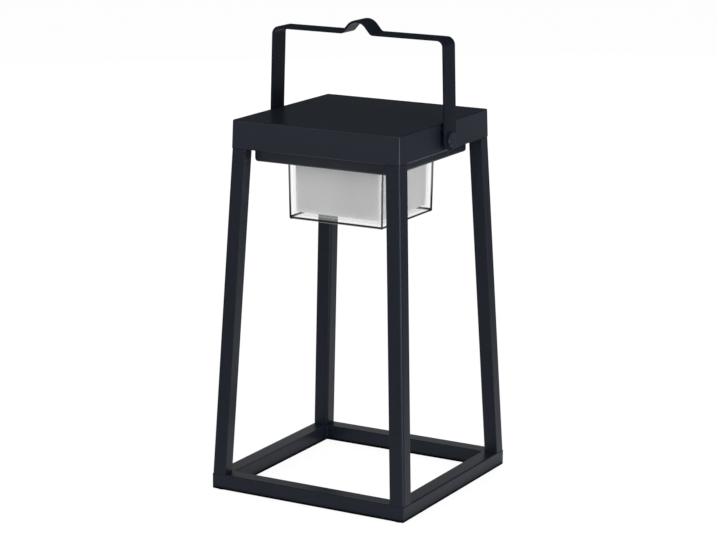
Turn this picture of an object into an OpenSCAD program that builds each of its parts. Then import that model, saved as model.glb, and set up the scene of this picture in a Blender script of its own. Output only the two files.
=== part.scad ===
// Lantern table lamp: four splayed tube legs on a square base frame carry a flat square head,
// with a clear light cup under the head and a swinging strap handle over it.
// The origin is the middle of the footprint, on the surface that the lamp stands on.

/* [Base frame] */
// Outer width of the square base frame
base_w = 153; // [135:0.5:200]
// Height of the base rails
base_h = 11.2; // [9:0.1:20]
// How far the base rails run past the legs on the inside
rail_margin = 0.9; // [0:0.1:6]
// Rounding of the outer edges of the base frame
base_r = 0.9; // [0.6:0.1:2.4]
// Bevel along the edges of the window in the base frame
window_bevel = 0.4; // [0.2:0.1:1.2]
// How far the rubber pads stand out under the base frame
foot_out = 0.5; // [0.4:0.1:2]
// Diameter of the rubber pads
foot_d = 8.2; // [7.6:0.1:9]
// How deep the rubber pads sit in the base frame
foot_seat = 1.2; // [0.6:0.1:2]

/* [Legs] */
// Width of the square leg tube
leg_w = 10.8; // [9.8:0.1:12]
// Height from the top of the base frame to the rim of the cover
leg_rise = 231.3; // [150:0.1:320]
// Wall of the leg tube
leg_wall = 1.2; // [0.8:0.1:1.8]
// Rounding of the leg tube's edges that face outwards and inwards
leg_r = 2.2; // [1:0.1:3]
// Rounding of the leg tube's two side edges
side_r = 0.4; // [0.2:0.1:0.9]
// Length of the plugs pressed into the ends of a leg
plug_len = 16; // [14:1:30]

/* [Cover] */
// Width of the square cover at its rim
cover_w = 131; // [126:0.5:150]
// Height of the cover
cover_h = 20; // [19.4:0.1:30]
// How much each side draws in from the rim to the top
cover_draft = 0.5; // [0.1:0.1:2]
// Wall of the cover at the rim and of its top
cover_wall = 2.2; // [1.6:0.1:2.6]
// Width of the inner ledge that presses on the seal
ledge_w = 2.4; // [1.4:0.1:3]
// Rounding of the cover's outer edges
cover_r = 1.2; // [0.8:0.1:3]
// Bevel of the cover's rim
rim_bevel = 0.4; // [0.1:0.1:0.8]
// Diameter of the screw bosses inside the cover
boss_d = 6.4; // [5.6:0.1:7]
// Distance of the screw bosses' middles from the tray's walls
boss_inset = 5; // [4.4:0.1:6]
// Thickness of the seal between the cover and the tray
seal_t = 1; // [0.6:0.1:1.6]

/* [Tray] */
// Gap between the tray and the inner faces of the legs
tray_gap = 0.3; // [0.2:0.1:4]
// Depth of the tray below the cover's rim
tray_drop = 9.9; // [9.2:0.1:14]
// Wall and floor of the tray
tray_wall = 2; // [1.6:0.1:2.2]
// Rounding of the tray's lower edges
tray_r = 2.4; // [2:0.1:3.2]
// Thickness of the tray's flange inside the cover
flange_t = 2.4; // [2.2:0.1:3]
// Height of the pads around the cover screws
pad_h = 2.4; // [2:0.1:3]
// Wall of the pads around the cover screws' heads
pad_wall = 1.5; // [1:0.1:1.8]

/* [Light cup] */
// How far the clear cup stands in from the tray's sides
cup_inset = 16.8; // [14:0.1:30]
// Depth of the clear cup below the tray
cup_drop = 41.7; // [30:0.1:70]
// How much each side of the cup draws in towards its floor
cup_draft = 0.6; // [0.1:0.1:1.6]
// Wall of the clear cup
cup_wall = 2.6; // [1.8:0.1:4]
// Gap between the clear cup and the hole in the tray
cup_gap = 0.4; // [0.1:0.1:0.8]
// Floor of the clear cup
cup_floor = 3; // [2:0.1:4]
// Rounding of the clear cup's edges
cup_r = 1.4; // [0.8:0.1:2]
// Width of the flange around the cup's mouth
cup_flange_w = 3.7; // [3:0.1:4.4]
// Thickness of the flange around the cup's mouth
cup_flange_t = 1.8; // [1.4:0.1:2.2]
// Thickness of the gasket under the cup's flange
gasket_t = 0.8; // [0.5:0.1:1.2]
// Gap between the white diffuser and the wall of the clear cup
diffuser_gap = 1; // [0.4:0.1:6]
// Height of the diffuser's floor above the floor of the cup
diffuser_lift = 2; // [0.6:0.1:6]
// Wall of the diffuser
diffuser_wall = 1.6; // [1:0.1:2.4]
// Width of the flange around the diffuser's mouth
diffuser_flange_w = 5; // [3:0.1:7]
// Thickness of the flange around the diffuser's mouth
diffuser_flange_t = 1.4; // [1:0.1:2]

/* [Light plate] */
// Gap between the ends of the plate that clamps the cup and the tray's walls
plate_gap = 2.5; // [1:0.1:3.4]
// How far the sides of the plate run past the cup's flange
plate_margin = 1; // [0:0.1:1.4]
// Thickness of the plate
plate_t = 1.5; // [1:0.1:1.8]
// Distance of the plate's screws from the middle, as a share of half its width
plate_screw_share = 0.52; // [0.3:0.01:0.7]
// Gap between the square light board and the wall of the diffuser
led_board_gap = 3.9; // [1:0.1:8]
// Thickness of the light board
led_board_t = 1.2; // [0.8:0.1:1.6]
// Number of light chips in each row and column
led_count = 4; // [2:1:6]
// Distance of the outer light chips' middles from the edge of their board
led_margin = 8.5; // [3:0.5:10]
// Length of a light chip
led_l = 3.5; // [2:0.1:4]
// Width of a light chip
led_w = 2.8; // [2:0.1:4]
// Thickness of a light chip
led_t = 0.8; // [0.4:0.1:1.2]

/* [Battery] */
// Gap between the round battery cell and the top of the cover
cell_gap = 1.2; // [0.3:0.1:4]
// Distance of the battery cell's ends from the ends of the plate
cell_inset = 17.4; // [13:0.1:25]
// Diameter of the cell's button end
cell_tip_d = 5.6; // [4:0.1:7]
// Length of the cell's button end
cell_tip_l = 1.4; // [0.8:0.1:2]
// Distance of the battery holder from the front edge of the plate
holder_inset = 15.3; // [4:0.1:18]
// Height of the cell above the plate
holder_floor = 0.6; // [0.5:0.1:0.8]
// Side wall of the battery holder
holder_side = 1.5; // [1:0.1:2]
// End wall of the battery holder
holder_end = 2; // [1.2:0.1:3]
// Height of the battery holder
holder_h = 11; // [8:0.5:14]
// Thickness of the battery contacts
contact_t = 0.8; // [0.4:0.1:1.2]
// Width of the battery contacts
contact_w = 9; // [6:0.5:10]

/* [Control board] */
// Gap between the ends of the control board and the screw bosses
board_gap = 5.3; // [2:0.1:8]
// Width of the control board
board_w = 8.6; // [8:0.1:8.8]
// Thickness of the control board
board_t = 1.2; // [0.8:0.1:1.6]
// Diameter of the posts that carry the control board
post_d = 5; // [4.4:0.1:5.2]
// Distance of the posts' middles from the ends of the control board
post_inset = 5; // [3:0.1:7]
// Gap between the control board and the back wall of the tray
board_back = 0.3; // [0.2:0.1:0.6]

/* [Charging port] */
// Distance of the charging port from the middle, as a share of the way to the board's post
port_share = 0.42; // [0.3:0.01:0.6]
// Gap between the rubber plug's flap and the tray's flange
flap_gap = 0.7; // [0.4:0.1:1.2]
// Width of the charging socket
socket_w = 9; // [7:0.1:10]
// Height of the charging socket
socket_h = 3.2; // [2.6:0.1:3.4]
// Length of the charging socket
socket_l = 7.3; // [5:0.1:7.5]
// Sheet thickness of the socket's shell
socket_wall = 0.35; // [0.2:0.05:0.5]
// Thickness of the socket's back
socket_back = 1; // [0.6:0.1:1.6]
// Thickness of the tongue in the socket
tongue_t = 0.7; // [0.5:0.1:0.9]
// How far the tongue lies behind the socket's mouth
tongue_inset = 1; // [0.4:0.1:2]
// How far the opening in the tray runs past the socket on each side
port_margin = 0.3; // [0.2:0.1:0.4]
// How far the rubber plug's flap runs past the opening along its length
flap_margin = 1.7; // [1:0.1:2.4]
// How far the rubber plug's flap runs past the opening along its height
flap_lip = 0.9; // [0.6:0.1:1]
// Thickness of the rubber plug's flap
flap_t = 1.2; // [0.8:0.1:2]
// Depth of the rubber plug inside the opening
plug_depth = 1.6; // [1:0.1:1.6]
// Length of the finger tab at the end of the rubber plug's flap
tab_l = 2.6; // [1:0.1:4]
// Width of the finger tab
tab_w = 3.6; // [2:0.1:5]

/* [Push button] */
// Distance of the push button from the middle, as a share of the way to the board's post
button_share = 0.6; // [0.5:0.01:0.7]
// Diameter of the push button
button_d = 7.6; // [5:0.1:7.8]
// How far the push button stands out under the tray
button_out = 0.9; // [0.7:0.1:2]
// Width of the collar that keeps the button in the tray
collar_w = 0.7; // [0.5:0.1:0.8]
// Thickness of the button's collar
collar_t = 0.8; // [0.6:0.1:0.8]
// Width of the finger hollow in the push button
hollow_d = 5.4; // [3:0.1:7]
// Depth of the finger hollow in the push button
hollow_depth = 0.4; // [0.1:0.1:0.6]
// How far the push button travels
button_travel = 0.6; // [0.3:0.1:0.6]
// Width of the square switch above the button
switch_w = 6; // [5:0.1:7]
// Room that is left between the switch and the pressed button
switch_gap = 0.5; // [0.2:0.1:0.9]
// Diameter of the switch's plunger
plunger_d = 3.4; // [2.4:0.1:3.6]
// How deep the plunger stands in the switch
plunger_hold = 0.9; // [0.5:0.1:1.2]

/* [Handle] */
// Width of the handle strap
strap_w = 16.3; // [13:0.1:18]
// Thickness of the handle strap
strap_t = 1.7; // [1.2:0.1:2.4]
// Gap between the folded strap and the tops of the legs
strap_gap = 0.45; // [0.3:0.05:1.5]
// How far the folded handle's bar clears the edge of the cover
bar_gap = 1.8; // [1:0.1:40]
// How much each side of the handle leans in towards the bar
handle_lean = 1.6; // [0.2:0.1:1.7]
// Height above the cover where the sides of the handle start to lean in
lean_up = 1.2; // [0.2:0.1:4]
// Bend radius of the handle's corners, at the middle of the strap
bend_r = 5; // [3:0.1:5.4]
// Bend radius where the sides start to lean in
lean_r = 20; // [10:1:40]
// Rise of the hook arch above the bar
arch_h = 8.2; // [4:0.1:14]
// Slope of the hook arch's flanks in degrees
arch_slope = 49; // [35:1:70]
// Bend radius at the top of the hook arch
arch_r = 9; // [3:0.1:12]
// Bend radius at the feet of the hook arch
arch_foot_r = 3.3; // [2:0.1:6]
// Thickness of the spacer between the cover and the handle
spacer_t = 2.4; // [1.6:0.1:5]
// Diameter of the spacer
spacer_d = 9.6; // [8:0.1:12]
// How far the flat seat for the spacer is cut into the cover at its deepest
seat_cut = 0.3; // [0.1:0.1:0.8]

/* [Fasteners] */
// Diameter of the shoulder that the handle turns on
shoulder_d = 5; // [4.6:0.1:6]
// Diameter of the large screws
bolt_d = 4; // [3.6:0.1:4.2]
// Diameter of the small screws
screw_d = 3; // [2.6:0.1:3]
// Diameter of the pivot bolts' heads
pivot_head_d = 10.2; // [8:0.1:12]
// Height of the pivot bolts' heads
pivot_head_h = 1.7; // [0.8:0.1:3]
// Rounding of the pivot bolts' heads
pivot_head_r = 0.7; // [0.3:0.1:0.8]
// Width across the corners of the pivot nuts
nut_d = 8.1; // [7:0.1:9]
// Thickness of the pivot nuts
nut_t = 3.2; // [2.2:0.1:5]
// Diameter of the large screws' heads
bolt_head_d = 7; // [6.4:0.1:7]
// Height of the large screws' heads
bolt_head_h = 2.6; // [2:0.1:3]
// Depth of the counterbore above the rubber pads
bolt_sink = 3.2; // [2.8:0.1:4]
// Length of the large screws below the head
bolt_l = 17; // [12:0.5:20]
// Diameter of the small screws' heads
screw_head_d = 5.4; // [4.6:0.1:5.6]
// Height of the small screws' heads
screw_head_h = 1.9; // [1.4:0.1:2.4]
// Length of the small screws below the head
screw_l = 10; // [7:0.5:11]
// Diameter of the countersunk heads
flat_head_d = 5.2; // [4.8:0.1:5.4]
// Height of the countersunk heads
flat_head_h = 1.5; // [1.2:0.1:1.8]
// Length of the plate's screws below the head
plate_screw_l = 5; // [4:0.5:5]
// Diameter of the control board's screws
board_screw_d = 2; // [1.6:0.1:2.4]
// Diameter of the control board's screw heads
board_head_d = 3.8; // [3:0.1:4.4]
// Height of the control board's screw heads
board_head_h = 1.4; // [1:0.1:1.8]
// Length of the control board's screws below the head
board_screw_l = 5; // [4:0.5:6]

/* [Fits] */
// Gap around shafts in their holes
fit_gap = 0.05; // [0.02:0.01:0.1]
// Gap around parts that drop into one another
seat_gap = 0.2; // [0.1:0.05:0.4]

/* [Hidden] */

// Colours of the pieces
coat = [0.14, 0.16, 0.19];
coat_plastic = [0.12, 0.13, 0.15];
clear = [0.9, 0.94, 0.96, 0.35];
white = [0.93, 0.93, 0.9];
steel = [0.62, 0.63, 0.65];
aluminium = [0.75, 0.76, 0.78];
rubber = [0.08, 0.08, 0.09];
board_green = [0.08, 0.35, 0.2];
chip_black = [0.1, 0.1, 0.1];
cell_blue = [0.15, 0.3, 0.55];
lamp_yellow = [0.95, 0.85, 0.45];
lead_red = [0.7, 0.1, 0.1];

// Smoothness of round cuts and shafts, of rounded corners, and the angle between points on a bend
round_fn = 64;
corner_fn = 32;
bend_step = 6;

// How far a cut runs past the face that it opens
overrun = 1;

// Rounding of corners and bevel of edges that hardly show
inner_r = 0.7;
edge_bevel = 0.3;

// Heights, from the surface that the lamp stands on
base_z = foot_out;
base_top = base_z + base_h;
rim_z = base_top + leg_rise;
cover_top = rim_z + cover_h;
flange_top = rim_z + flange_t;
ledge_z = flange_top + seal_t;
ceiling_z = cover_top - cover_wall;
tray_z = rim_z - tray_drop;
floor_z = tray_z + tray_wall;
cup_z = tray_z - cup_drop;
cup_flange_z = floor_z + gasket_t;
diffuser_flange_z = cup_flange_z + cup_flange_t;
diffuser_z = cup_z + cup_floor + diffuser_lift;
plate_z = diffuser_flange_z + diffuser_flange_t;
plate_top = plate_z + plate_t;
cell_d = ceiling_z - cell_gap - plate_top - holder_floor;
cell_z = plate_top + holder_floor + cell_d / 2;
port_h = socket_h + 2 * port_margin;
port_z = rim_z - flap_gap - flap_lip - port_h / 2;
board_z = port_z + socket_h / 2;
board_top = board_z + board_t;
button_top = floor_z + collar_t;
switch_z = button_top + button_travel + switch_gap;
pivot_z = rim_z + strap_gap + strap_w / 2;
bar_top = pivot_z + cover_w / 2 + bar_gap + strap_t;

// Sizes and places in plan
rail_w = leg_w + rail_margin;
foot_c = base_w / 2 - leg_w / 2;
top_c = cover_w / 2 - leg_w / 2;
lean_y = atan((top_c - foot_c) / leg_rise);
lean_x = -atan((top_c - foot_c) / leg_rise * cos(lean_y));
cavity_w = cover_w - 2 * (cover_wall + ledge_w);
pocket_w = cover_w - 2 * cover_wall;
flange_w = pocket_w - 2 * seat_gap;
tray_w = cover_w - 2 * (leg_w + tray_gap);
tray_inner_w = tray_w - 2 * tray_wall;
boss_at = tray_inner_w / 2 - boss_inset;
cup_w = tray_w - 2 * cup_inset;
cup_mouth_w = cup_w - 2 * cup_wall;
cup_hole_w = cup_w + 2 * cup_gap;
cup_rim_w = cup_w + 2 * cup_flange_w;
diffuser_w = cup_mouth_w - 2 * diffuser_gap;
diffuser_rim_w = diffuser_w + 2 * diffuser_flange_w;
plate_l = tray_inner_w - 2 * plate_gap;
plate_w = cup_rim_w + 2 * plate_margin;
plate_screw_x = (cup_rim_w + tray_inner_w) / 4;
plate_screw_y = plate_screw_share * plate_w / 2;
led_board_w = diffuser_w - 2 * (diffuser_wall + led_board_gap);
led_pitch = (led_board_w - 2 * led_margin) / (led_count - 1);
cell_l = plate_l - 2 * cell_inset;
cell_y = holder_inset + holder_side + cell_d / 2 - plate_w / 2;
board_l = 2 * (boss_at - boss_d / 2 - board_gap);
board_y = tray_inner_w / 2 - board_back - board_w / 2;
post_x = board_l / 2 - post_inset;
button_x = button_share * post_x;
port_x = -port_share * post_x;
port_w = socket_w + 2 * port_margin;
socket_front = tray_inner_w / 2 - seat_gap;

// Places along the handle's pivots
seat_x = cover_w / 2 - cover_draft * (pivot_z - rim_z) / cover_h - seat_cut;
strap_x = seat_x + spacer_t + fit_gap + strap_t / 2;
head_x = strap_x + strap_t / 2 + fit_gap;
nut_x = cavity_w / 2;

// Wires of the battery
lead_d = 1.4;
lead_fn = 8;
lead_lift = 1.6;
lead_side = 2.2;
connector_l = 7;
connector_w = 5;
connector_h = 4.4;

// Place of the coil on the control board, as a share of the way to its post
coil_share = 0.75;

// Turns a piece made at the back right corner round to the other three
module at_corners() {
    for (turn = [0 : 3])
        rotate(90 * turn)
            children();
}

// A rectangle with round corners
module round_rect(w, d, r) {
    square([w - 2 * r, d], center = true);
    square([w, d - 2 * r], center = true);
    for (x = [-1, 1], y = [-1, 1])
        translate([x * (w / 2 - r), y * (d / 2 - r)])
            circle(r = r, $fn = corner_fn);
}

// A square plate or column with round corners, standing on z = 0
module round_column(w, r, h) {
    linear_extrude(h)
        round_rect(w, w, r);
}

// A square block whose closed end is rounded and whose other end is bevelled, the closed end up
module soft_block(open_w, closed_w, h, r, bevel) {
    hull()
        for (x = [-1, 1], y = [-1, 1]) {
            translate([x * (closed_w / 2 - r), y * (closed_w / 2 - r), h - r])
                sphere(r = r, $fn = corner_fn);
            translate([x * (open_w / 2 - r), y * (open_w / 2 - r), 0])
                cylinder(r1 = r - bevel, r2 = r, h = bevel, $fn = corner_fn);
        }
}

// The same block with its closed end down
module soft_cup(open_w, closed_w, h, r, bevel) {
    translate([0, 0, h])
        mirror([0, 0, 1])
            soft_block(open_w, closed_w, h, r, bevel);
}

// A shaft or bore along z
module rod(d, h) {
    cylinder(d = d, h = h, $fn = round_fn);
}

// A hole for a shaft of diameter d, cut from z = 0 to h with an overrun at both ends
module hole(d, h) {
    translate([0, 0, -overrun])
        rod(d + 2 * fit_gap, h + 2 * overrun);
}

// A screw with its head above z = 0 and its shank below
module pan_screw(d, l, head_d, head_h) {
    translate([0, 0, -l])
        rod(d, l);
    rod(head_d, head_h);
}

// The outline of the leg tube: two edges rounded like bends, the two beside them nearly sharp
module tube_outline() {
    edge = leg_w / 2 - leg_r;
    round_rect(leg_w, leg_w, leg_r);
    for (side = [-1, 1])
        translate([side * edge, -side * edge])
            round_rect(2 * leg_r, 2 * leg_r, side_r);
}

// A length of splayed leg between two heights, at the back right corner, with the given outline
module leg_bar(low, high) {
    intersection() {
        translate([foot_c, foot_c, base_top])
            rotate([lean_x, lean_y, 0])
                translate([0, 0, -leg_w])
                    linear_extrude(leg_rise + 2 * leg_w)
                        children();
        translate([0, 0, low])
            linear_extrude(high - low)
                square(base_w);
    }
}

// Points of a path that runs past the given corners with a bend at each, moved sideways by shift
function turn_angle(a, b) = atan2(a.x * b.y - a.y * b.x, a.x * b.x + a.y * b.y);
function unit(v) = v / norm(v);
function spin(v, angle) = [v.x * cos(angle) - v.y * sin(angle), v.x * sin(angle) + v.y * cos(angle)];
function left_of(v) = [-v.y, v.x];
function bend(before, corner, after, r, shift) =
    let (u = unit(corner - before))
    let (turn = turn_angle(u, after - corner))
    let (side = sign(turn))
    let (start = corner - u * r * tan(abs(turn) / 2))
    let (middle = start + left_of(u) * side * r)
    let (steps = ceil(abs(turn) / bend_step))
    [for (i = [0 : steps]) middle - spin(left_of(u), turn * i / steps) * side * (r - side * shift)];
function path(corners, radii, shift) =
    let (last = len(corners) - 1)
    let (first_side = left_of(unit(corners[1] - corners[0])))
    let (last_side = left_of(unit(corners[last] - corners[last - 1])))
    concat(
        [corners[0] + first_side * shift],
        [for (i = [1 : last - 1]) each bend(corners[i - 1], corners[i], corners[i + 1], radii[i], shift)],
        [corners[last] + last_side * shift]
    );
function reversed(list) = [for (i = [len(list) - 1 : -1 : 0]) list[i]];

module base_frame() {
    window_w = base_w - 2 * rail_w;
    window_r = window_w / sqrt(2);
    bevel_r = window_r + window_bevel * sqrt(2);
    color(coat)
        difference() {
            translate([0, 0, base_z])
                hull()
                    for (x = [-1, 1], y = [-1, 1], z = [base_r, base_h - base_r])
                        translate([x * (base_w / 2 - base_r), y * (base_w / 2 - base_r), z])
                            sphere(r = base_r, $fn = corner_fn);
            translate([0, 0, base_z - overrun])
                round_column(window_w, base_r, base_h + 2 * overrun);
            for (end = [0, 1])
                translate([0, 0, base_z + end * base_h])
                    mirror([0, 0, end])
                        rotate(45)
                            cylinder(r1 = bevel_r, r2 = window_r, h = window_bevel, $fn = 4);
            at_corners()
                translate([foot_c, foot_c, base_z]) {
                    hole(bolt_d, base_h);
                    translate([0, 0, -overrun])
                        rod(bolt_head_d + 2 * seat_gap, overrun + foot_seat + bolt_sink);
                    translate([0, 0, -overrun])
                        rod(foot_d + 2 * fit_gap, overrun + foot_seat);
                }
        }
}

module base_feet() {
    color(rubber)
        at_corners()
            translate([foot_c, foot_c, 0])
                rod(foot_d, foot_out + foot_seat);
}

module base_screws() {
    color(steel)
        at_corners()
            translate([foot_c, foot_c, base_z + foot_seat + bolt_sink])
                mirror([0, 0, 1])
                    pan_screw(bolt_d, bolt_l, bolt_head_d, bolt_head_h);
}

module leg(turn) {
    inner_w = leg_w - 2 * leg_wall;
    color(coat)
        rotate(90 * turn)
            difference() {
                leg_bar(base_top, rim_z)
                    tube_outline();
                leg_bar(base_top - overrun, rim_z + overrun)
                    round_rect(inner_w, inner_w, inner_r);
            }
}

module leg_plug(low, high) {
    plug_w = leg_w - 2 * leg_wall - 2 * fit_gap;
    leg_bar(low, high)
        round_rect(plug_w, plug_w, inner_r);
}

module leg_foot_plugs() {
    color(coat_plastic)
        at_corners()
            difference() {
                leg_plug(base_top, base_top + plug_len);
                translate([foot_c, foot_c, base_top])
                    hole(bolt_d, plug_len);
            }
}

module leg_top_plugs() {
    color(coat_plastic)
        at_corners()
            difference() {
                leg_plug(rim_z - plug_len, rim_z);
                translate([top_c, top_c, rim_z - plug_len])
                    hole(screw_d, plug_len);
            }
}

module leg_top_screws() {
    color(steel)
        at_corners()
            translate([top_c, top_c, flange_top - flat_head_h]) {
                cylinder(d1 = screw_d, d2 = flat_head_d, h = flat_head_h, $fn = round_fn);
                translate([0, 0, -screw_l])
                    rod(screw_d, screw_l);
            }
}

module cover() {
    boss_z = floor_z + pad_h;
    color(coat)
        difference() {
            union() {
                difference() {
                    translate([0, 0, rim_z])
                        soft_block(cover_w, cover_w - 2 * cover_draft, cover_h, cover_r, rim_bevel);
                    translate([0, 0, rim_z - overrun])
                        round_column(pocket_w, cover_r, ledge_z - rim_z + overrun);
                    translate([0, 0, rim_z])
                        round_column(cavity_w, cover_r, ceiling_z - rim_z);
                }
                at_corners()
                    translate([boss_at, boss_at, boss_z])
                        rod(boss_d, ceiling_z - boss_z + cover_wall / 2);
            }
            at_corners()
                translate([boss_at, boss_at, boss_z - overrun])
                    rod(screw_d + 2 * fit_gap, overrun + screw_l);
            for (side = [-1, 1])
                translate([0, 0, pivot_z])
                    rotate([0, 90 * side, 0]) {
                        hole(bolt_d, cover_w / 2);
                        translate([0, 0, seat_x])
                            rod(spacer_d + 2 * seat_gap, seat_cut + overrun);
                    }
        }
}

module cover_seal() {
    color(rubber)
        translate([0, 0, flange_top])
            linear_extrude(seal_t)
                difference() {
                    round_rect(flange_w, flange_w, cover_r);
                    round_rect(cavity_w, cavity_w, cover_r);
                }
}

module cover_screws() {
    color(steel)
        at_corners()
            translate([boss_at, boss_at, tray_z + pad_h])
                mirror([0, 0, 1])
                    pan_screw(screw_d, screw_l, screw_head_d, screw_head_h);
}

module tray() {
    pad_d = screw_head_d + 2 * pad_wall;
    sink_d = flat_head_d + 2 * fit_gap;
    color(coat_plastic)
        difference() {
            union() {
                difference() {
                    union() {
                        translate([0, 0, tray_z])
                            soft_cup(tray_w, tray_w, tray_drop + flange_t / 2, tray_r, edge_bevel);
                        translate([0, 0, rim_z])
                            round_column(flange_w, cover_r, flange_t);
                    }
                    translate([0, 0, floor_z])
                        round_column(tray_inner_w, tray_r - tray_wall / 2, flange_top - floor_z + overrun);
                }
                at_corners()
                    translate([boss_at, boss_at, tray_z])
                        rod(pad_d, tray_wall + pad_h);
                for (x = [-1, 1], y = [-1, 1])
                    translate([x * plate_screw_x, y * plate_screw_y, tray_z + tray_wall / 2])
                        rod(boss_d, plate_z - tray_z - tray_wall / 2);
                for (x = [-1, 1])
                    translate([x * post_x, board_y, tray_z + tray_wall / 2])
                        rod(post_d, board_z - tray_z - tray_wall / 2);
            }
            translate([0, 0, tray_z - overrun])
                round_column(cup_hole_w, cup_r, tray_wall + 2 * overrun);
            at_corners() {
                translate([boss_at, boss_at, tray_z]) {
                    hole(screw_d, tray_wall + pad_h);
                    translate([0, 0, -overrun])
                        rod(screw_head_d + 2 * seat_gap, overrun + pad_h);
                }
                translate([top_c, top_c, rim_z])
                    hole(screw_d, flange_t);
                translate([top_c, top_c, flange_top - flat_head_h])
                    cylinder(d1 = screw_d + 2 * fit_gap, d2 = sink_d, h = flat_head_h, $fn = round_fn);
            }
            for (x = [-1, 1], y = [-1, 1])
                translate([x * plate_screw_x, y * plate_screw_y, plate_z + plate_t - plate_screw_l])
                    rod(screw_d + 2 * fit_gap, plate_screw_l);
            for (x = [-1, 1])
                translate([x * post_x, board_y, board_top - board_screw_l])
                    rod(board_screw_d + 2 * fit_gap, board_screw_l);
            translate([button_x, board_y, tray_z])
                hole(button_d, tray_wall);
            translate([port_x, tray_inner_w / 2 - overrun, port_z])
                rotate([-90, 0, 0])
                    linear_extrude(tray_wall + 2 * overrun)
                        round_rect(port_w, port_h, port_h / 2 - socket_wall);
        }
}

module clear_cup() {
    floor_w = cup_w - 2 * cup_draft;
    color(clear)
        difference() {
            union() {
                translate([0, 0, cup_z])
                    soft_cup(cup_w, floor_w, cup_drop, cup_r, edge_bevel);
                translate([0, 0, tray_z - edge_bevel])
                    round_column(cup_w, cup_r, cup_flange_z - tray_z + 2 * edge_bevel);
                translate([0, 0, cup_flange_z])
                    round_column(cup_rim_w, cup_r, cup_flange_t);
            }
            hull() {
                translate([0, 0, cup_z + cup_floor])
                    round_column(floor_w - 2 * cup_wall, inner_r, overrun);
                translate([0, 0, diffuser_flange_z])
                    round_column(cup_mouth_w, inner_r, overrun);
            }
        }
}

module cup_gasket() {
    color(rubber)
        translate([0, 0, floor_z])
            linear_extrude(gasket_t)
                difference() {
                    round_rect(cup_rim_w, cup_rim_w, cup_r);
                    round_rect(cup_hole_w, cup_hole_w, cup_r);
                }
}

module diffuser() {
    floor_w = diffuser_w - 2 * cup_draft;
    color(white)
        difference() {
            union() {
                hull() {
                    translate([0, 0, diffuser_z])
                        round_column(floor_w - 2 * edge_bevel, cup_r, edge_bevel);
                    translate([0, 0, diffuser_z + edge_bevel])
                        round_column(floor_w, cup_r, edge_bevel);
                    translate([0, 0, diffuser_flange_z])
                        round_column(diffuser_w, cup_r, diffuser_flange_t / 2);
                }
                translate([0, 0, diffuser_flange_z])
                    round_column(diffuser_rim_w, cup_r, diffuser_flange_t);
            }
            hull() {
                translate([0, 0, diffuser_z + diffuser_wall])
                    round_column(floor_w - 2 * diffuser_wall, inner_r, overrun);
                translate([0, 0, plate_z])
                    round_column(diffuser_w - 2 * diffuser_wall, inner_r, overrun);
            }
        }
}

module light_plate() {
    color(aluminium)
        difference() {
            translate([0, 0, plate_z])
                linear_extrude(plate_t)
                    round_rect(plate_l, plate_w, cup_r);
            for (x = [-1, 1], y = [-1, 1])
                translate([x * plate_screw_x, y * plate_screw_y, plate_z])
                    hole(screw_d, plate_t);
        }
}

module plate_screws() {
    color(steel)
        for (x = [-1, 1], y = [-1, 1])
            translate([x * plate_screw_x, y * plate_screw_y, plate_top])
                pan_screw(screw_d, plate_screw_l, screw_head_d, screw_head_h);
}

module led_board() {
    color(white)
        translate([0, 0, plate_z - led_board_t])
            round_column(led_board_w, cup_r, led_board_t);
}

module leds() {
    first = led_margin - led_board_w / 2;
    led_z = plate_z - led_board_t - led_t / 2;
    color(lamp_yellow)
        for (column = [0 : led_count - 1], row = [0 : led_count - 1])
            translate([first + column * led_pitch, first + row * led_pitch, led_z])
                cube([led_l, led_w, led_t], center = true);
}

module battery_cell() {
    color(cell_blue)
        translate([-cell_l / 2, cell_y, cell_z])
            rotate([0, 90, 0]) {
                rod(cell_d, cell_l - cell_tip_l);
                rod(cell_tip_d, cell_l);
            }
}

module battery_holder() {
    holder_l = cell_l + 2 * contact_t;
    color(chip_black)
        difference() {
            translate([-holder_l / 2 - holder_end, cell_y - cell_d / 2 - holder_side, plate_top])
                cube([holder_l + 2 * holder_end, cell_d + 2 * holder_side, holder_h]);
            translate([-holder_l / 2, cell_y, cell_z])
                rotate([0, 90, 0])
                    rod(cell_d + 2 * fit_gap, holder_l);
        }
}

module battery_contacts() {
    color(steel)
        for (x = [-1, 1])
            translate([x * (cell_l + contact_t) / 2, cell_y, cell_z])
                rotate([0, 90, 0])
                    translate([0, 0, -contact_t / 2])
                        round_column(contact_w, cup_r, contact_t);
}

// A wire drawn past the given points
module lead(points) {
    for (i = [1 : len(points) - 1])
        hull()
            for (end = [points[i - 1], points[i]])
                translate(end)
                    sphere(d = lead_d, $fn = lead_fn);
}

module battery_leads() {
    start_x = cell_l / 2 + contact_t + holder_end + lead_d / 2;
    start_z = plate_top + holder_h / 2;
    past_y = cell_y + cell_d / 2 + holder_side + lead_side;
    run_z = plate_top + lead_lift;
    end_y = board_y - connector_w / 2 - lead_d / 2;
    color(lead_red)
        for (x = [-1, 1])
            lead([
                [x * start_x, cell_y, start_z],
                [x * (start_x + lead_side), past_y, run_z],
                [x * lead_side, plate_w / 2 - 2 * lead_side, run_z],
                [x * lead_side / 2, end_y, board_top + connector_h / 2]
            ]);
}

module control_board() {
    color(board_green)
        difference() {
            translate([-board_l / 2, board_y - board_w / 2, board_z])
                cube([board_l, board_w, board_t]);
            for (x = [-1, 1])
                translate([x * post_x, board_y, board_z])
                    hole(board_screw_d, board_t);
        }
}

// The soldered parts: a connector, two chips and a coil
module board_components() {
    color(chip_black)
        translate([0, board_y, board_top]) {
            translate([-connector_l / 2, -connector_w / 2, 0])
                cube([connector_l, connector_w, connector_h]);
            for (x = [-post_x / 2, post_x / 2])
                translate([x - connector_w / 2, -connector_w / 2, 0])
                    cube([connector_w, connector_w, board_t]);
            translate([coil_share * post_x, 0, 0])
                rod(connector_w, connector_h / 2);
        }
}

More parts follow.
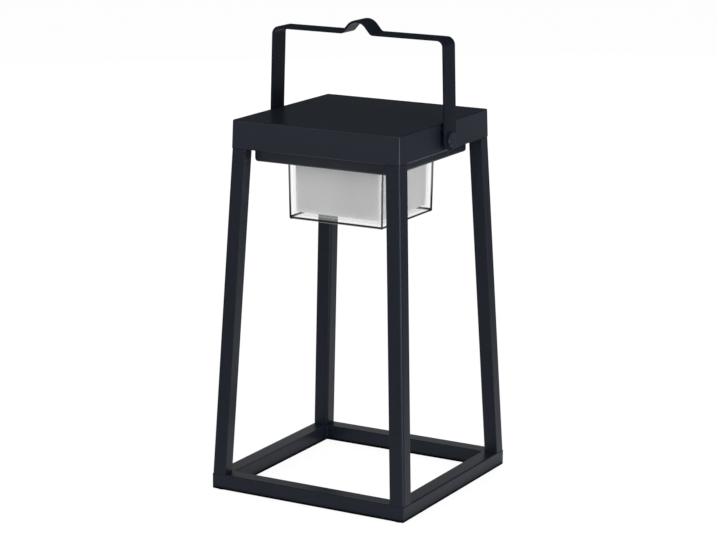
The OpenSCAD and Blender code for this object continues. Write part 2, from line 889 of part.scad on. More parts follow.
module board_screws() {
    color(steel)
        for (x = [-1, 1])
            translate([x * post_x, board_y, board_top])
                pan_screw(board_screw_d, board_screw_l, board_head_d, board_head_h);
}

module charging_socket() {
    inner_w = socket_w - 2 * socket_wall;
    inner_h = socket_h - 2 * socket_wall;
    color(steel)
        translate([port_x, socket_front, port_z])
            rotate([90, 0, 0]) {
                difference() {
                    linear_extrude(socket_l)
                        round_rect(socket_w, socket_h, socket_h / 2 - socket_wall);
                    translate([0, 0, -overrun])
                        linear_extrude(overrun + socket_l - socket_back)
                            round_rect(inner_w, inner_h, inner_h / 2 - socket_wall);
                }
                translate([-inner_w / 2 + tongue_t, -tongue_t / 2, tongue_inset])
                    cube([inner_w - 2 * tongue_t, tongue_t, socket_l - tongue_inset - socket_back / 2]);
            }
}

module port_plug() {
    color(rubber)
        translate([port_x, tray_w / 2, port_z])
            rotate([-90, 0, 0]) {
                linear_extrude(flap_t)
                    round_rect(port_w + 2 * flap_margin, port_h + 2 * flap_lip, port_h / 2);
                translate([-port_w / 2 - flap_margin, 0, 0])
                    linear_extrude(flap_t)
                        round_rect(2 * tab_l, tab_w, inner_r);
                translate([0, 0, -plug_depth])
                    linear_extrude(plug_depth + flap_t / 2)
                        round_rect(port_w - 2 * fit_gap, port_h - 2 * fit_gap, port_h / 2 - socket_wall);
            }
}

module power_button() {
    hollow_r = (hollow_d * hollow_d / 4 + hollow_depth * hollow_depth) / (2 * hollow_depth);
    color(rubber)
        translate([button_x, board_y, 0]) {
            difference() {
                translate([0, 0, tray_z - button_out])
                    rod(button_d, button_out + tray_wall + collar_t / 2);
                translate([0, 0, tray_z - button_out + hollow_depth - hollow_r])
                    sphere(r = hollow_r, $fn = round_fn);
            }
            translate([0, 0, floor_z])
                rod(button_d + 2 * collar_w, collar_t);
        }
}

module switch_body() {
    color(chip_black)
        translate([button_x, board_y, switch_z])
            difference() {
                translate([-switch_w / 2, -switch_w / 2, 0])
                    cube([switch_w, switch_w, board_z - switch_z]);
                translate([0, 0, -overrun])
                    rod(plunger_d + 2 * fit_gap, overrun + plunger_hold + button_travel + fit_gap);
            }
}

module switch_plunger() {
    color(white)
        translate([button_x, board_y, button_top])
            rod(plunger_d, switch_z + plunger_hold - button_top);
}

module handle() {
    bar_z = bar_top - strap_t / 2;
    top_x = strap_x - handle_lean;
    arch_x = (arch_h + arch_r * (1 / cos(arch_slope) - 1)) / tan(arch_slope);
    arch_tip = bar_z + arch_x * tan(arch_slope);
    corners = [
        [-strap_x, pivot_z], [-strap_x, cover_top + lean_up], [-top_x, bar_z],
        [-arch_x, bar_z], [0, arch_tip], [arch_x, bar_z],
        [top_x, bar_z], [strap_x, cover_top + lean_up], [strap_x, pivot_z]
    ];
    radii = [0, lean_r, bend_r, arch_foot_r, arch_r, arch_foot_r, bend_r, lean_r, 0];
    outline = concat(path(corners, radii, strap_t / 2), reversed(path(corners, radii, -strap_t / 2)));
    color(coat)
        difference() {
            union() {
                translate([0, strap_w / 2, 0])
                    rotate([90, 0, 0])
                        linear_extrude(strap_w)
                            polygon(outline);
                for (side = [-1, 1])
                    translate([side * strap_x, 0, pivot_z])
                        rotate([0, 90, 0])
                            translate([0, 0, -strap_t / 2])
                                rod(strap_w, strap_t);
            }
            for (side = [-1, 1])
                translate([side * strap_x, 0, pivot_z])
                    rotate([0, 90, 0])
                        translate([0, 0, -strap_t])
                            rod(shoulder_d + 2 * fit_gap, 2 * strap_t);
        }
}

// A shoulder bolt with a low round head, its axis along z and its head up, the shoulder's foot at z = 0
module pivot_screw() {
    shoulder_l = head_x - seat_x;
    thread_l = seat_x - nut_x + nut_t + fit_gap;
    translate([0, 0, -thread_l])
        rod(bolt_d, thread_l + shoulder_l);
    rod(shoulder_d, shoulder_l + pivot_head_r);
    translate([0, 0, shoulder_l])
        rotate_extrude($fn = round_fn) {
            square([pivot_head_d / 2 - pivot_head_r, pivot_head_h]);
            square([pivot_head_d / 2, pivot_head_h - pivot_head_r]);
            translate([pivot_head_d / 2 - pivot_head_r, pivot_head_h - pivot_head_r])
                circle(r = pivot_head_r, $fn = corner_fn);
        }
}

// Places a piece made along z at both pivots, its top facing outwards
module at_pivots(x) {
    for (side = [-1, 1])
        translate([side * x, 0, pivot_z])
            rotate([0, 90 * side, 0])
                children();
}

module handle_pivots() {
    color(steel)
        at_pivots(seat_x)
            pivot_screw();
}

module handle_spacers() {
    color(coat_plastic)
        at_pivots(seat_x)
            difference() {
                rod(spacer_d, spacer_t);
                hole(shoulder_d, spacer_t);
            }
}

module handle_nuts() {
    color(steel)
        at_pivots(nut_x - nut_t)
            difference() {
                cylinder(d = nut_d, h = nut_t, $fn = 6);
                hole(bolt_d, nut_t);
            }
}

base_frame();
base_feet();
base_screws();
leg(2);  // leg_front_left
leg(3);  // leg_front_right
leg(1);  // leg_back_left
leg(0);  // leg_back_right
leg_foot_plugs();
leg_top_plugs();
leg_top_screws();
cover();
cover_seal();
cover_screws();
tray();
clear_cup();
cup_gasket();
diffuser();
light_plate();
plate_screws();
led_board();
leds();
battery_cell();
battery_holder();
battery_contacts();
battery_leads();
control_board();
board_components();
board_screws();
charging_socket();
port_plug();
power_button();
switch_body();
switch_plunger();
handle();
handle_pivots();
handle_spacers();
handle_nuts();
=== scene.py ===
"""Looks of a lantern table lamp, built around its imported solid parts: finishes, soft edges, the screws that
close its cover, floor, light and camera. Lengths are in metres."""

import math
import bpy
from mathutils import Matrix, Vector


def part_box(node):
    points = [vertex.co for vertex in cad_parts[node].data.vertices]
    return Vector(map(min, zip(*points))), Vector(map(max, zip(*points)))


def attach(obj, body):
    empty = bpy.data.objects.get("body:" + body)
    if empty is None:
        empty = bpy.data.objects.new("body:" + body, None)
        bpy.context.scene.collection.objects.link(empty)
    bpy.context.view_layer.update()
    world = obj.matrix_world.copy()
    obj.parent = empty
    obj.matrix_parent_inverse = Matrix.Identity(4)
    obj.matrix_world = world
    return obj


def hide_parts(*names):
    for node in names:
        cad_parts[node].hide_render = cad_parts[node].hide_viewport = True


bl_info = {
    "name": "Lantern table lamp",
    "version": (1, 0, 0),
    "blender": (4, 5, 0),
    "location": "3D View > Sidebar > Lantern lamp",
    "description": "Dresses a lantern table lamp and sets its stage",
    "category": "Object",
}

import bpy
from bpy.props import FloatProperty, FloatVectorProperty, PointerProperty
from mathutils import Matrix, Vector

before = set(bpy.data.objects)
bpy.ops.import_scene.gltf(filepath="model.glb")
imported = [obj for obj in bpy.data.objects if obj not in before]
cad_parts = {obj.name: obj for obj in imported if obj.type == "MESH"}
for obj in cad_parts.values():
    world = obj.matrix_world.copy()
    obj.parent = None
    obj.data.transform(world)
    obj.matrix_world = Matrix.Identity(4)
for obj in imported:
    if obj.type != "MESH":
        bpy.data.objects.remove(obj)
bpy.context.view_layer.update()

MM = 0.001
IMAGE_WIDTH = 716
KEY_AZIMUTH = 61


# Sizes and colours


def length(name, description, default):
    return FloatProperty(
        name=name, description=description, default=default, min=0, unit="LENGTH", precision=5
    )


def amount(name, description, default, highest=1.0):
    return FloatProperty(name=name, description=description, default=default, min=0, max=highest)


def angle(name, description, degrees):
    return FloatProperty(name=name, description=description, default=math.radians(degrees), unit="ROTATION")


def colour(name, description, red, green, blue):
    return FloatVectorProperty(
        name=name,
        description=description,
        default=(red, green, blue, 1),
        size=4,
        subtype="COLOR",
        min=0,
        max=1,
    )


class LanternSizes(bpy.types.PropertyGroup):
    """Sizes that a user would change."""

    coat_grain: length("Coat grain", "Width of the grains of the powder coat", 0.4 * MM)
    coat_relief: length("Coat relief", "Height of the grains of the powder coat", 0.008 * MM)
    coat_roughness: amount("Coat roughness", "How matt the powder coat is", 0.36)
    coat_shine: amount("Coat shine", "How much the powder coat mirrors", 0.14)
    handle_shine: amount("Handle shine", "How much the handle mirrors", 0.06)
    # Painted shade: height up to which the base's coat is painted dark, for the shadow along its lower edge
    painted_foot_shade: length("Shaded foot", "Height of the dark line along the lower edge of the base", 3.3 * MM)
    rail_width: length("Rail width", "Width of the base frame's rails", 11.7 * MM)
    head_roughness: amount("Head roughness", "How matt the smooth head is", 0.3)
    head_shine: amount("Head shine", "How much the smooth head mirrors", 0.22)
    head_relief: length("Head relief", "Height of the grains of the smooth head", 0.0024 * MM)
    soft_edge: length("Soft edge", "Width of the worn edge of the handle's strap", 0.3 * MM)
    fine_edge: length("Fine edge", "Width of the edge of small parts", 0.15 * MM)


class LanternColours(bpy.types.PropertyGroup):
    """Colours that a user would change."""

    coat: colour("Powder coat", "Anthracite of the frame, legs and handle", 0.0105, 0.0135, 0.0215)
    handle: colour("Handle", "Anthracite of the handle's strap", 0.0078, 0.0102, 0.0164)
    head: colour("Head", "Anthracite of the smooth head", 0.0115, 0.0145, 0.0235)
    moulding: colour("Moulding", "Anthracite plastic of the tray", 0.0145, 0.018, 0.027)
    rubber: colour("Rubber", "Pads, button and port plug", 0.012, 0.012, 0.013)
    opal: colour("Opal", "White plastic of the diffuser", 0.92, 0.92, 0.92)


class LanternCup(bpy.types.PropertyGroup):
    """Sizes of the clear cup that its finish follows, with its painted shade: dark lines painted up its edges,
    round its foot and on the side of its floor, standing in for dark refractions and inner reflections.
    """

    half_floor: length("Half width", "Half the width of the cup at its floor", 37 * MM)
    slope: FloatProperty(name="Slope", description="How much the walls lean out", default=0.6 / 41.7)
    edge: length("Edge", "Width of the dark line up the edges at the front right and back left", 1.2 * MM)
    wide_edge: length("Wide edge", "Width of the dark line along the other two upright edges", 2.7 * MM)
    rim: length("Rim line", "Height of the dark line round the foot of the cup", 1.4 * MM)
    half_rim: length("Half rim line", "Half the width of that line", 0.6 * MM)
    blur: length("Line blur", "Width over which the dark lines end", 0.3 * MM)
    darkness: amount("Line darkness", "How dark the lines are", 0.99)
    fading: amount("Line fading", "How much lighter the wide lines are further up", 0.16)
    fade_from: length("Fade from", "Height where the wide lines begin to fade", 8 * MM)
    fade_to: length("Fade to", "Height where the wide lines have faded", 22 * MM)
    painted_floor_shade: amount("Floor shade", "How dark the side of the floor is", 0.5)
    floor_haze: amount("Floor haze", "How milky the floor is", 0.2)


class LanternScrew(bpy.types.PropertyGroup):
    """Sizes of the screws that close the cover."""

    head_radius: length("Head radius", "Radius of the head", 2.7 * MM)
    head_height: length("Head height", "Height of the head", 1.9 * MM)
    shank_radius: length("Shank radius", "Radius of the shank", 1.5 * MM)
    recess_arm: length("Recess arm", "Half the width of the recess's arms", 0.38 * MM)
    recess_depth: length("Recess depth", "Depth of the recess", 1 * MM)


class LanternStage(bpy.types.PropertyGroup):
    """Light, floor and camera."""

    key_power: amount("Key light", "Power of the soft light on the right, in watts", 5, 500)
    fill_power: amount("Fill light", "Power of the soft light on the left, in watts", 8, 500)
    top_power: amount("Top light", "Power of the soft light overhead, in watts", 6.5, 500)
    side_power: amount("Side light", "Power of the light at the side that isn't mirrored, in watts", 8, 500)
    back_power: amount("Back light", "Power of the soft light behind that isn't mirrored, in watts", 9, 500)
    room_light: amount("Room light", "Strength of the light from all round", 0.45, 4)
    room_gloss: amount("Room reflection", "How light the room above the floor is in reflections", 0.06, 4)
    streak_far: amount("Streak far off", "How light the streak mirrored in the front edges is far off", 16, 200)
    streak_near: amount("Streak near by", "How light the streak is near by", 3.5, 200)
    streak_core: amount("Streak core", "Half the width of its even part for each metre along it", 0.25)
    streak_spread: amount("Streak spread", "Half its whole width for each metre along it", 0.7)
    streak_gain_from: length("Streak gain from", "How far along it begins to gain light", 0.25)
    streak_gain_to: length("Streak gain to", "How far along it has all its light", 1.05)
    streak_fade_from: length("Streak fade from", "How far along it begins to fade", 1.6)
    streak_fade_to: length("Streak fade to", "How far along it ends", 2.2)
    card_power: amount("Back card", "Power of the low card that the upper faces mirror, in watts", 0.8, 500)
    pool_reach: length("Light pool", "How far round the lamp the floor is light in reflections", 1.3)
    pool_core: amount("Light pool core", "Share of the pool that is evenly light", 0.1)
    pool_shift: length("Light pool shift", "How far behind the lamp the middle of the pool is", 0.25)
    pool_front: amount("Floor in front", "How light the floor in front is in reflections", 0.42)
    pool_front_reach: length("Reach in front", "How far in front of the lamp it has that lightness", 0.5)
    pool_behind: amount("Floor behind", "How light the floor far behind is in reflections", 0.2)
    pool_behind_from: length("Reach behind", "How far behind the lamp the floor begins to gain it", 0.7)
    pool_behind_to: length("Full reach behind", "How far behind the lamp it has that lightness", 1.0)
    pool_width: length("Light pool width", "How wide that pool is across", 0.54)
    pool_turn: angle("Light pool turn", "Turn of the pool about the lamp", 2)
    pool_rest: amount("Floor beyond the pool", "How light the floor is beyond that", 0.04)
    floor_tone: amount("Floor tone", "How pale the floor is", 0.85)
    floor_white: amount("Floor white", "How light the floor is to the camera, out of the shadows", 1.08, 4)
    floor_even: amount("Floor evenness", "How little of the shadows on the floor the camera sees", 0.86)
    camera_azimuth: angle("Camera azimuth", "Turn of the camera round the lamp from its front", 29.32)
    camera_elevation: angle("Camera elevation", "Height of the camera above the horizon", 13.22)
    camera_roll: angle("Camera roll", "Turn of the camera about its own axis", 0.25)
    camera_distance: length("Camera distance", "From the camera to the middle of its view", 1.73363)
    camera_aside: FloatProperty(
        name="Camera aside", description="Shift of the view to the right", default=-2.18 * MM, unit="LENGTH"
    )
    camera_height: length("View height", "Height of the middle of the view on the lamp's axis", 151.94 * MM)
    camera_focal: FloatProperty(
        name="Focal length", description="Focal length in pixels of the picture", default=2467.65
    )


# Node trees


def add_node(tree, kind, settings=None, sockets=None):
    """Adds a node, sets its properties, and fills its sockets with values or with other nodes' outputs."""
    made = tree.nodes.new(kind)
    for name, value in (settings or {}).items():
        setattr(made, name, value)
    for name, value in (sockets or {}).items():
        socket = made.inputs[name]
        if isinstance(value, bpy.types.NodeSocket):
            tree.links.new(value, socket)
        else:
            socket.default_value = value
    return made


def empty_tree(owner):
    """Gives a material or world an empty node tree."""
    owner.use_nodes = True
    owner.node_tree.nodes.clear()
    return owner.node_tree


def new_finish(name):
    """A new material with an empty tree, and its tree and object coordinates."""
    material = bpy.data.materials.new(name)
    tree = empty_tree(material)
    place = add_node(tree, "ShaderNodeTexCoord").outputs["Object"]
    return material, tree, place


def close_finish(tree, shader):
    add_node(tree, "ShaderNodeOutputMaterial", sockets={"Surface": shader.outputs[0]})


def maths(tree, operation, first, second=0.0, third=0.0):
    made = add_node(tree, "ShaderNodeMath", {"operation": operation}, {0: first, 1: second, 2: third})
    return made.outputs[0]


def vector_maths(tree, operation, first, second=(0, 0, 0)):
    """The result of a vector operation, which is a number for lengths and dot products."""
    made = add_node(tree, "ShaderNodeVectorMath", {"operation": operation}, {0: first, 1: second})
    return made.outputs["Value" if operation in ("LENGTH", "DOT_PRODUCT") else "Vector"]


def parts_of(tree, vector):
    """The three numbers of a vector."""
    return add_node(tree, "ShaderNodeSeparateXYZ", sockets={0: vector}).outputs


def between(tree, value, low, high, start=0.0, end=1.0):
    """Runs smoothly from start to end while value goes from low to high."""
    made = add_node(
        tree,
        "ShaderNodeMapRange",
        {"interpolation_type": "SMOOTHSTEP"},
        {"Value": value, "From Min": low, "From Max": high, "To Min": start, "To Max": end},
    )
    return made.outputs["Result"]


def mixed_shaders(tree, share, first, second):
    """The first shader where share is nothing, and the second where it is one."""
    sockets = {0: share, 1: first.outputs[0], 2: second.outputs[0]}
    return add_node(tree, "ShaderNodeMixShader", sockets=sockets)


def principled(tree, sockets):
    return add_node(tree, "ShaderNodeBsdfPrincipled", sockets=sockets)


def ray_kinds(tree):
    """One for rays that show the background itself, from the camera or through glass, and one for gloss."""
    ray = add_node(tree, "ShaderNodeLightPath").outputs
    return maths(tree, "MAXIMUM", ray["Is Camera Ray"], ray["Is Transmission Ray"]), ray["Is Glossy Ray"]


def noise(tree, place, scale, detail=2.0, roughness=0.5):
    made = add_node(
        tree,
        "ShaderNodeTexNoise",
        sockets={"Vector": place, "Scale": scale, "Detail": detail, "Roughness": roughness},
    )
    return made.outputs["Fac"]


def remap(tree, value, low, high):
    """Spreads the middle of a noise over the range from low to high."""
    made = add_node(
        tree,
        "ShaderNodeMapRange",
        sockets={"Value": value, "From Min": 0.3, "From Max": 0.7, "To Min": low, "To Max": high},
    )
    return made.outputs["Result"]


def shade_of(tree, value, tone, dark, light):
    """A colour that runs with value from dark to light times the given tone."""
    ramp = add_node(tree, "ShaderNodeValToRGB", sockets={"Fac": value})
    for stop, place, factor in zip(ramp.color_ramp.elements, (0.3, 0.7), (dark, light)):
        stop.position = place
        stop.color = [min(1, part * factor) for part in tone[:3]] + [1]
    return ramp.outputs["Color"]


def bumps(tree, *layers):
    """Stacks bumps, each given as a height and how far in metres it stands out."""
    normal = None
    for height, distance in layers:
        sockets = {"Height": height, "Distance": distance, "Strength": 1.0}
        if normal:
            sockets["Normal"] = normal
        normal = add_node(tree, "ShaderNodeBump", sockets=sockets).outputs["Normal"]
    return normal


# Finishes


def powder_coat(name, tone, roughness, grain, relief, shine, painted_foot_shade=0.0):
    """Fine powder coat: tiny grains on slow waves, with a faint change of tone. Up to the height of its last
    argument it can be painted darker and less glossy: painted shade for the shadow along the lower edge of the
    base."""
    waves_per_grain, patches_per_grain = 0.12, 0.3
    material, tree, place = new_finish(name)
    grains = noise(tree, place, 1 / grain, 2.0)
    waves = noise(tree, place, waves_per_grain / grain, 1.0)
    patches = noise(tree, place, patches_per_grain / grain, 3.0)
    shader = principled(
        tree,
        {
            "Base Color": shade_of(tree, patches, tone, 0.88, 1.12),
            "Roughness": remap(tree, grains, roughness - 0.04, roughness + 0.06),
            "Specular IOR Level": shine,
            "Normal": bumps(tree, (waves, relief * 2), (grains, relief)),
        },
    )
    # Painted shade: a darker, less glossy coat near the bottom that stands in for the shadow under the base's
    # lower edge
    if painted_foot_shade:
        shade = principled(
            tree,
            {
                "Base Color": shade_of(tree, patches, tone, 0.1, 0.2),
                "Roughness": 0.7,
                "Specular IOR Level": 0.02,
            },
        )
        above = between(tree, parts_of(tree, place)["Z"], 0.4 * painted_foot_shade, painted_foot_shade)
        shader = mixed_shaders(tree, above, shade, shader)
    close_finish(tree, shader)
    return material


def matt_moulding(name, tone, roughness, shine=0.3):
    """Moulded plastic or rubber with a finely sparked surface."""
    spark, cloud, relief = 0.35 * MM, 9 * MM, 0.006 * MM
    material, tree, place = new_finish(name)
    sparks = noise(tree, place, 1 / spark, 2.0)
    clouds = noise(tree, place, 1 / cloud, 2.0)
    shader = principled(
        tree,
        {
            "Base Color": shade_of(tree, clouds, tone, 0.93, 1.07),
            "Roughness": remap(tree, sparks, roughness - 0.05, roughness + 0.05),
            "Specular IOR Level": shine,
            "Normal": bumps(tree, (sparks, relief)),
        },
    )
    close_finish(tree, shader)
    return material


def painted_cup_shade(tree, place, cup):
    """Painted shade on the clear cup, standing in for the dark refractions and inner reflections at its edges:
    how dark it is in lines up its corners and round its foot, and on the side of its floor.
    """
    near_axis, slab_blur = 5 * MM, 0.2 * MM
    across, along, up = parts_of(tree, place)
    height = maths(tree, "SUBTRACT", up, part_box("clear_cup")[0].z)
    half = maths(tree, "MULTIPLY_ADD", height, cup.slope, cup.half_floor)
    from_side = maths(tree, "SUBTRACT", half, maths(tree, "ABSOLUTE", across))
    from_end = maths(tree, "SUBTRACT", half, maths(tree, "ABSOLUTE", along))
    from_corner = maths(tree, "MAXIMUM", from_side, from_end)
    from_wall = maths(tree, "MINIMUM", from_side, from_end)
    # One at the front left and back right corners, whose lines are wide, and nothing at the other two
    wide = between(tree, maths(tree, "MULTIPLY", across, along), -(near_axis**2), near_axis**2)
    width = maths(tree, "MULTIPLY_ADD", wide, cup.wide_edge - cup.edge, cup.edge)
    corner = between(tree, maths(tree, "DIVIDE", from_corner, width), 0.7, 1, 1, 0)
    faded = maths(tree, "MULTIPLY", between(tree, height, cup.fade_from, cup.fade_to), wide)
    corner = maths(tree, "MULTIPLY", corner, maths(tree, "MULTIPLY_ADD", faded, -cup.fading, cup.darkness))
    # Painted shade: a dark line round the cup's foot and a darker side of its floor
    low, high = cup.rim - cup.half_rim, cup.rim + cup.half_rim
    above_low = between(tree, height, low - cup.blur, low)
    below_high = between(tree, height, high, high + cup.blur, 1, 0)
    rim = maths(tree, "MULTIPLY", maths(tree, "MULTIPLY", above_low, below_high), cup.darkness)
    slab = between(tree, height, cup.rim - slab_blur, cup.rim + slab_blur, cup.painted_floor_shade, 0)
    on_wall = between(tree, from_wall, cup.blur, 2 * cup.blur, 1, 0)
    return maths(tree, "MAXIMUM", corner, maths(tree, "MULTIPLY", on_wall, maths(tree, "MAXIMUM", rim, slab)))


def clear_acrylic(name, cup):
    """Polished clear acrylic: painted dark lines where its edges turn, standing in for dark refractions and
    inner reflections, a milky floor, and clear walls between.
    """
    ripple_width, ripple_relief = 18 * MM, 0.01 * MM
    head_on_shine, grazing_shine = 0.03, 0.93
    material, tree, place = new_finish(name)
    ripple = bumps(tree, (noise(tree, place, 1 / ripple_width, 1.0), ripple_relief))
    gloss = add_node(
        tree, "ShaderNodeBsdfGlossy", sockets={"Color": (1, 1, 1, 1), "Roughness": 0.03, "Normal": ripple}
    )
    through = add_node(tree, "ShaderNodeBsdfTransparent", sockets={"Color": (0.99, 0.99, 0.99, 1)})
    milk = add_node(tree, "ShaderNodeBsdfTranslucent", sockets={"Color": (0.95, 0.95, 0.95, 1)})
    # Near-black sheet for the painted shade: dark lines that stand in for the dark refractions at the cup's
    # edges
    edge = principled(
        tree, {"Base Color": (0.008, 0.009, 0.01, 1), "Roughness": 0.12, "Specular IOR Level": 0.3}
    )
    facing = add_node(tree, "ShaderNodeTexCoord").outputs["Normal"]
    lying = between(tree, maths(tree, "ABSOLUTE", parts_of(tree, facing)["Z"]), 0.6, 0.9)
    grazing = add_node(tree, "ShaderNodeLayerWeight", sockets={"Blend": 0.5}).outputs["Facing"]
    grazing = maths(tree, "POWER", grazing, 5)
    shine = maths(tree, "MULTIPLY_ADD", grazing, grazing_shine - head_on_shine, head_on_shine)
    shine = maths(tree, "MULTIPLY", shine, maths(tree, "MULTIPLY_ADD", lying, -0.8, 1))
    clear = mixed_shaders(tree, shine, through, gloss)
    clear = mixed_shaders(tree, maths(tree, "MULTIPLY", lying, cup.floor_haze), clear, milk)
    clear = mixed_shaders(tree, painted_cup_shade(tree, place, cup), clear, edge)
    ray = add_node(tree, "ShaderNodeLightPath").outputs
    lamplight = maths(tree, "MAXIMUM", ray["Is Shadow Ray"], ray["Is Diffuse Ray"])
    close_finish(tree, mixed_shaders(tree, lamplight, clear, through))
    return material


def opal_white(name, tone):
    """Milky white plastic that glows a little through its wall."""
    spark, cloud, relief, glow_depth = 0.5 * MM, 14 * MM, 0.004 * MM, 12 * MM
    material, tree, place = new_finish(name)
    clouds = noise(tree, place, 1 / cloud, 2.0)
    sparks = noise(tree, place, 1 / spark, 2.0)
    shader = principled(
        tree,
        {
            "Base Color": shade_of(tree, clouds, tone, 0.98, 1.01),
            "Roughness": 0.45,
            "Specular IOR Level": 0.3,
            "Subsurface Weight": 0.6,
            "Subsurface Radius": (1.0, 1.0, 1.0),
            "Subsurface Scale": glow_depth,
            "Normal": bumps(tree, (sparks, relief)),
        },
    )
    close_finish(tree, shader)
    return material


def bare_metal(name, tone, roughness, along=(1, 1, 1)):
    """Zinc, nickel or aluminium, with fine rolling or turning marks along one direction."""
    mark, relief = 0.4 * MM, 0.004 * MM
    material, tree, place = new_finish(name)
    turned = add_node(tree, "ShaderNodeMapping", sockets={"Vector": place, "Scale": along})
    marks = noise(tree, turned.outputs[0], 1 / mark, 3.0)
    shader = principled(
        tree,
        {
            "Base Color": shade_of(tree, marks, tone, 0.9, 1.05),
            "Metallic": 1.0,
            "Roughness": remap(tree, marks, roughness - 0.08, roughness + 0.08),
            "Normal": bumps(tree, (marks, relief)),
        },
    )
    close_finish(tree, shader)
    return material


def dress(material, *names):
    """Gives solid parts a finish."""
    for name in names:
        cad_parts[name].material_slots[0].material = material


def soften(width, *names):
    """Breaks the sharp edges of solid parts with a narrow round."""
    for name in names:
        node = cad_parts[name]
        node.modifiers.new("join", "WELD").merge_threshold = 0.001 * MM
        edge = node.modifiers.new("soft_edge", "BEVEL")
        edge.width, edge.segments = width, 2
        edge.limit_method, edge.angle_limit = "ANGLE", math.radians(35)
        edge.use_clamp_overlap = True
        node.modifiers.new("even_shade", "WEIGHTED_NORMAL").keep_sharp = False


# Modelling


def pick_faces(item, wanted):
    """Selects the faces for which wanted is true, and goes to edit mode."""
    bpy.ops.object.mode_set(mode="EDIT")
    bpy.ops.mesh.select_mode(type="FACE")
    bpy.ops.mesh.select_all(action="DESELECT")
    bpy.ops.object.mode_set(mode="OBJECT")
    for face in item.data.polygons:
        face.select = wanted(face)
    bpy.ops.object.mode_set(mode="EDIT")


def move_extrusion(x=0, y=0, z=0):
    bpy.ops.mesh.extrude_region_move(TRANSFORM_OT_translate={"value": (x, y, z)})


# Pieces


class LANTERN_OT_metalwork(bpy.types.Operator):
    """Powder coat on the base, legs and handle, and a smoother coat on the head"""

    bl_idname = "lantern.metalwork"
    bl_label = "Coated metal"

    def execute(self, context):
        sizes, colours = context.scene.lantern_sizes, context.scene.lantern_colours
        matt, relief, shine = sizes.coat_roughness, sizes.coat_relief, sizes.coat_shine
        legs = ("leg_front_left", "leg_front_right", "leg_back_left", "leg_back_right")
        head = ("cover", "handle_pivots")
        for name, tone, roughness, height, mirroring, foot, nodes in (
            ("powder_coat", colours.coat, matt, relief, shine, 0, legs),
            ("head_coat", colours.head, sizes.head_roughness, sizes.head_relief, sizes.head_shine, 0, head),
            ("handle_coat", colours.handle, matt, relief, sizes.handle_shine, 0, ("handle",)),
            # The base's coat carries painted shade along its lower edge
            ("base_coat", colours.coat, matt, relief, shine, sizes.painted_foot_shade, ("base_frame",)),
        ):
            dress(powder_coat(name, tone, roughness, sizes.coat_grain, height, mirroring, foot), *nodes)
        soften(sizes.soft_edge, "handle")
        soften(sizes.fine_edge, "handle_pivots")
        return {"FINISHED"}


class LANTERN_OT_mouldings(bpy.types.Operator):
    """Plastic and rubber parts"""

    bl_idname = "lantern.mouldings"
    bl_label = "Mouldings and rubber"

    def execute(self, context):
        sizes, colours = context.scene.lantern_sizes, context.scene.lantern_colours
        dress(matt_moulding("tray_plastic", colours.moulding, 0.42, 0.26), "tray", "handle_spacers")
        dress(
            matt_moulding("soft_rubber", colours.rubber, 0.7, 0.2),
            "base_feet",
            "cover_seal",
            "cup_gasket",
            "port_plug",
            "power_button",
        )
        dress(
            matt_moulding("black_plastic", (0.012, 0.012, 0.012, 1), 0.5),
            "leg_foot_plugs",
            "leg_top_plugs",
            "battery_holder",
            "board_components",
            "switch_body",
        )
        soften(sizes.fine_edge, "base_feet", "port_plug", "power_button", "handle_spacers", "battery_holder")
        soften(sizes.fine_edge, "board_components", "switch_body", "leg_foot_plugs", "leg_top_plugs")
        return {"FINISHED"}


class LANTERN_OT_light_cup(bpy.types.Operator):
    """Clear cup and the white diffuser in it"""

    bl_idname = "lantern.light_cup"
    bl_label = "Light cup"

    def execute(self, context):
        colours = context.scene.lantern_colours
        dress(clear_acrylic("clear_acrylic", context.scene.lantern_cup), "clear_cup")
        dress(opal_white("opal_plastic", colours.opal), "diffuser", "switch_plunger")
        return {"FINISHED"}


class LANTERN_OT_inside(bpy.types.Operator):
    """Fasteners and electrical parts, most of them hidden"""

    bl_idname = "lantern.inside"
    bl_label = "Fasteners and inside"

    def execute(self, context):
        dress(
            bare_metal("zinc_steel", (0.62, 0.63, 0.65, 1), 0.34),
            "base_screws",
            "leg_top_screws",
            "cover_screws",
            "plate_screws",
            "board_screws",
            "handle_nuts",
        )
        dress(bare_metal("nickel", (0.68, 0.66, 0.62, 1), 0.25), "battery_contacts", "charging_socket")
        dress(bare_metal("satin_aluminium", (0.75, 0.76, 0.78, 1), 0.4, (0.05, 1, 1)), "light_plate")
        dress(matt_moulding("white_board", (0.82, 0.82, 0.80, 1), 0.35), "led_board")
        dress(matt_moulding("light_chip", (0.85, 0.66, 0.22, 1), 0.3), "leds")
        dress(matt_moulding("cell_sleeve", (0.03, 0.10, 0.28, 1), 0.3), "battery_cell")
        dress(matt_moulding("lead_jacket", (0.35, 0.02, 0.02, 1), 0.4), "battery_leads")
        dress(matt_moulding("green_board", (0.02, 0.14, 0.06, 1), 0.35), "control_board")
        return {"FINISHED"}


